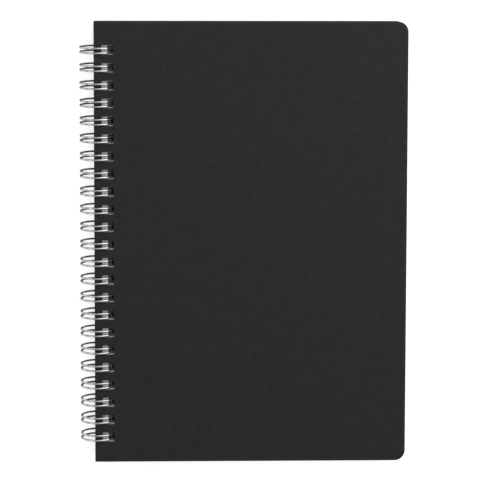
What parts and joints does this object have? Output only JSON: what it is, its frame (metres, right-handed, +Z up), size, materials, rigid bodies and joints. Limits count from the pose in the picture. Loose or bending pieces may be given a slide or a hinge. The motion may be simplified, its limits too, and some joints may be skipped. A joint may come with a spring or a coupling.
{
  "type": "wire-bound notebook",
  "caption": "A5 hardcover notebook: black board front and back covers and a block of leaves held by one twin-loop wire, each cover hinged round the wire.",
  "frame": {"origin": "middle of the bottom of the bounding box of the closed notebook lying on its back cover, level with the underside of the wire loops", "axes": "+Z is up, out of the front cover; +Y runs along the spine towards the head of the pages; +X runs from the wire to the fore edge"},
  "size_m": [0.1568, 0.212, 0.0163],
  "materials": {
    "front_cover": "matte black paper wrap",
    "back_cover": "matte black paper wrap",
    "page_block": "uncoated off-white paper, trimmed edges",
    "binding_wire": "bright nickel-coated steel wire"
  },
  "bodies": {
    "bound_block": {"page_block": "page_block", "binding_wire": "binding_wire"},
    "front_cover": {"front_cover": "front_cover"},
    "back_cover": {"back_cover": "back_cover"}
  },
  "joints": [
    {"name": "front_cover_hinge", "type": "hinge", "parent": "bound_block", "child": "front_cover", "pos_m": [-0.07023, 0, 0.00935], "axis": [0, -1, 0], "range_deg": [0, 180]},
    {"name": "back_cover_hinge", "type": "hinge", "parent": "bound_block", "child": "back_cover", "pos_m": [-0.07023, 0, 0.00695], "axis": [0, 1, 0], "range_deg": [0, 180]}
  ]
}
